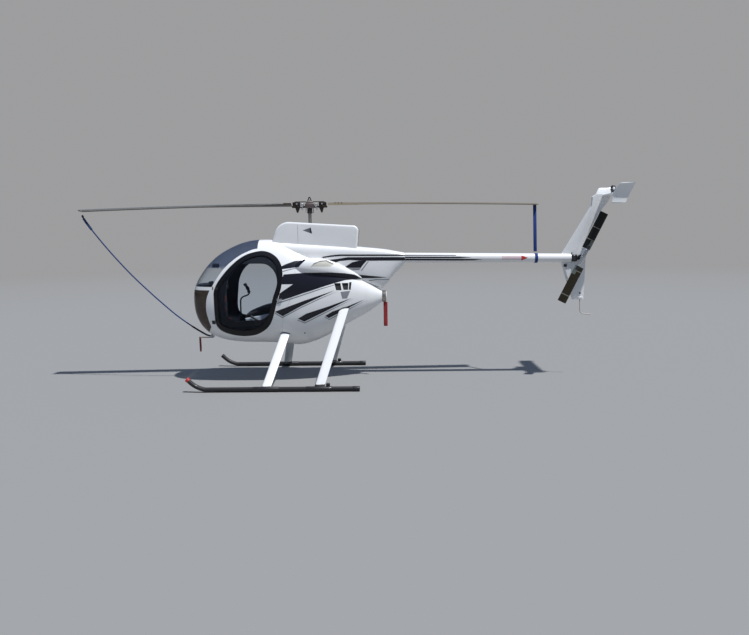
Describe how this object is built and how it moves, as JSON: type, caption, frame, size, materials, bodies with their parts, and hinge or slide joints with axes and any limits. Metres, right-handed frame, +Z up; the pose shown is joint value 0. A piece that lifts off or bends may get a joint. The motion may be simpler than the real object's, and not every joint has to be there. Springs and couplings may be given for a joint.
{
  "type": "light single-seat helicopter",
  "caption": "Light helicopter with an egg-shaped cabin, hinged doors, a two-bladed rotor, a tail rotor on a boom, a T-tail and skids.",
  "frame": {"origin": "on the ground under the middle of the machine, rotor tips and tail included", "axes": "+X forward to the nose, +Y to the left door, +Z up"},
  "size_m": [6.8884, 1.626, 2.43],
  "materials": {
    "white_shell": "gloss",
    "white_part": "gloss",
    "black_trim": "satin",
    "skid_black": "satin",
    "clear_glass": "gloss",
    "tinted_glass": "gloss",
    "alloy": "satin",
    "steel": "satin",
    "blade": "matt",
    "cloth": "woven",
    "rope": "braided",
    "ribbon": "woven",
    "lamp": "gloss"
  },
  "bodies": {
    "root": {"cabin_shell": "white_shell", "windshield_upper": "clear_glass", "chin_window": "tinted_glass", "spine_fairing": "white_part", "shoulder_scoop_left": "white_part", "shoulder_scoop_right": "white_part", "mast_fairing": "white_shell", "engine_cowl": "white_shell", "exhaust_outlet": "alloy", "exhaust_cover": "white_part", "engine": "alloy", "pitot_tube": "alloy", "nose_tie_ring": "steel", "cabin_floor": "black_trim", "rear_bulkhead": "white_part", "seat_base": "white_part", "seat_cushion": "cloth", "seat_back_cushion": "cloth", "instrument_pedestal": "black_trim", "cyclic_stick": "black_trim", "collective_lever": "black_trim", "pedals": "black_trim", "tail_boom": "white_part", "tail_gearbox": "steel", "upper_fin": "white_part", "lower_fin": "white_part", "stabiliser": "white_part", "end_plate_left": "white_part", "end_plate_right": "white_part", "tail_guard": "steel", "beacon": "lamp", "skid_left": "skid_black", "skid_right": "skid_black", "strut_front_left": "white_part", "strut_front_right": "white_part", "strut_rear_left": "white_part", "strut_rear_right": "white_part", "tie_down_rope": "rope", "exhaust_ribbon": "ribbon", "pitot_ribbon": "ribbon"},
    "main_rotor": {"rotor_mast": "steel", "rotor_head": "alloy", "main_blade_front": "blade", "main_blade_rear": "blade", "tie_down_strap": "rope"},
    "tail_rotor": {"tail_rotor_hub": "steel", "tail_blade_a": "blade", "tail_blade_b": "blade"},
    "door_left": {"door_frame_left": "black_trim", "door_window_left": "clear_glass", "door_handle_left": "alloy"},
    "door_right": {"door_frame_right": "black_trim", "door_window_right": "clear_glass", "door_handle_right": "alloy"}
  },
  "joints": [
    {"name": "main_rotor_spin", "type": "hinge", "parent": "root", "child": "main_rotor", "pos_m": [0.521, 0, 2.25], "axis": [0, 0, 1], "continuous": true},
    {"name": "tail_rotor_spin", "type": "hinge", "parent": "root", "child": "tail_rotor", "pos_m": [-2.905, 0.172, 1.532], "axis": [0, 1, 0], "continuous": true},
    {"name": "door_left_hinge", "type": "hinge", "parent": "root", "child": "door_left", "pos_m": [1.729, 0.34, 1], "axis": [0, 0, -1], "range_deg": [0, 75]},
    {"name": "door_right_hinge", "type": "hinge", "parent": "root", "child": "door_right", "pos_m": [1.729, -0.34, 1], "axis": [0, 0, 1], "range_deg": [0, 75]}
  ],
  "couplings": [
    {"joint": "tail_rotor_spin", "follows": "main_rotor_spin", "ratio": 5}
  ]
}
